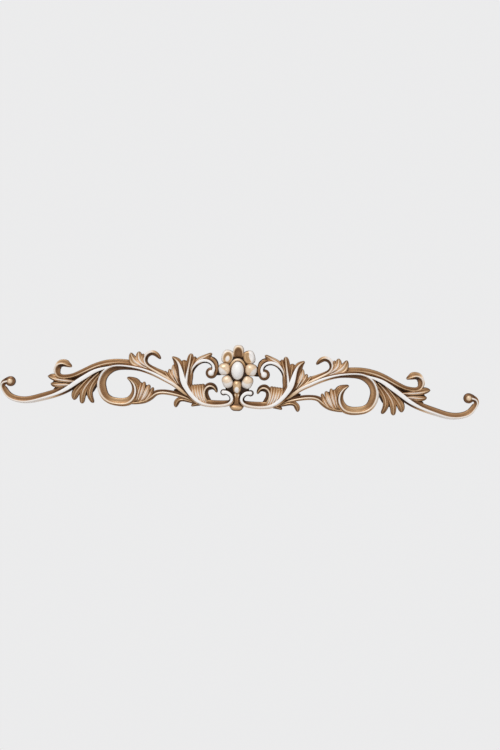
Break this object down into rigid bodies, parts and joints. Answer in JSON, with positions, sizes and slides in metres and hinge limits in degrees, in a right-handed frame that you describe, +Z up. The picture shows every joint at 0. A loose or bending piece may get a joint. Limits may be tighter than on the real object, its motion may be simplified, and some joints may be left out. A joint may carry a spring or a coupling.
{
  "type": "openwork scroll applique",
  "caption": "Openwork acanthus scroll applique with a central flower, arched arms that end in curls and a flat back to be fixed to a wall or panel.",
  "frame": {"origin": "on the flat back, behind the middle of the flower", "axes": "+X along the length, +Z up as hung, +Y out of the flat back into the wall, so the carved face looks along -Y"},
  "size_m": [0.9956, 0.028, 0.1379],
  "materials": {
    "gold_paint": "bronze-gold paint over cast foam, ridges rubbed to a pearly white"
  },
  "bodies": {
    "root": {"scroll_moulding": "gold_paint"}
  },
  "joints": []
}
